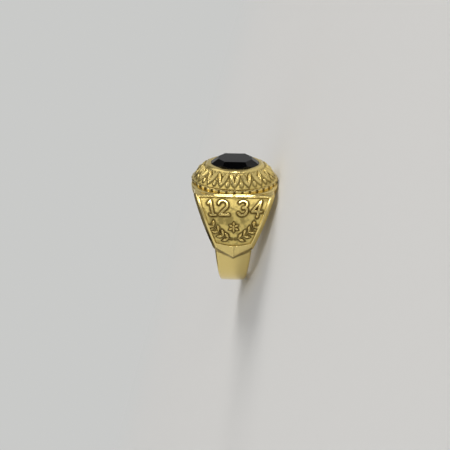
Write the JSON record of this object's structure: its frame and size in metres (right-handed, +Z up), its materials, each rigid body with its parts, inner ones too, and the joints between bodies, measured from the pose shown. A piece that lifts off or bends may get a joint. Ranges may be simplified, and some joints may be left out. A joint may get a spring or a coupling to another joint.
{
  "type": "onyx ring",
  "caption": "Heavy cast gold signet ring with a faceted oval black onyx in a sloping ornamented setting, flared shoulders with sunk relief panels and a tapered shank.",
  "frame": {"origin": "middle of the base of the bounding box of the ring as it lies on its side", "axes": "+X towards the head and its stone, +Y across the ring, +Z up from the surface; the finger hole's axis leans back from +Z by 16.2 degrees, because the head is wider than the shank"},
  "size_m": [0.0268, 0.0246, 0.0168],
  "materials": {
    "gold": "polished yellow gold, with a fine cast grain and darkened recesses in the relief",
    "onyx": "polished opaque black onyx"
  },
  "bodies": {
    "root": {"ring_casting": "gold", "onyx_stone": "onyx"}
  },
  "joints": []
}
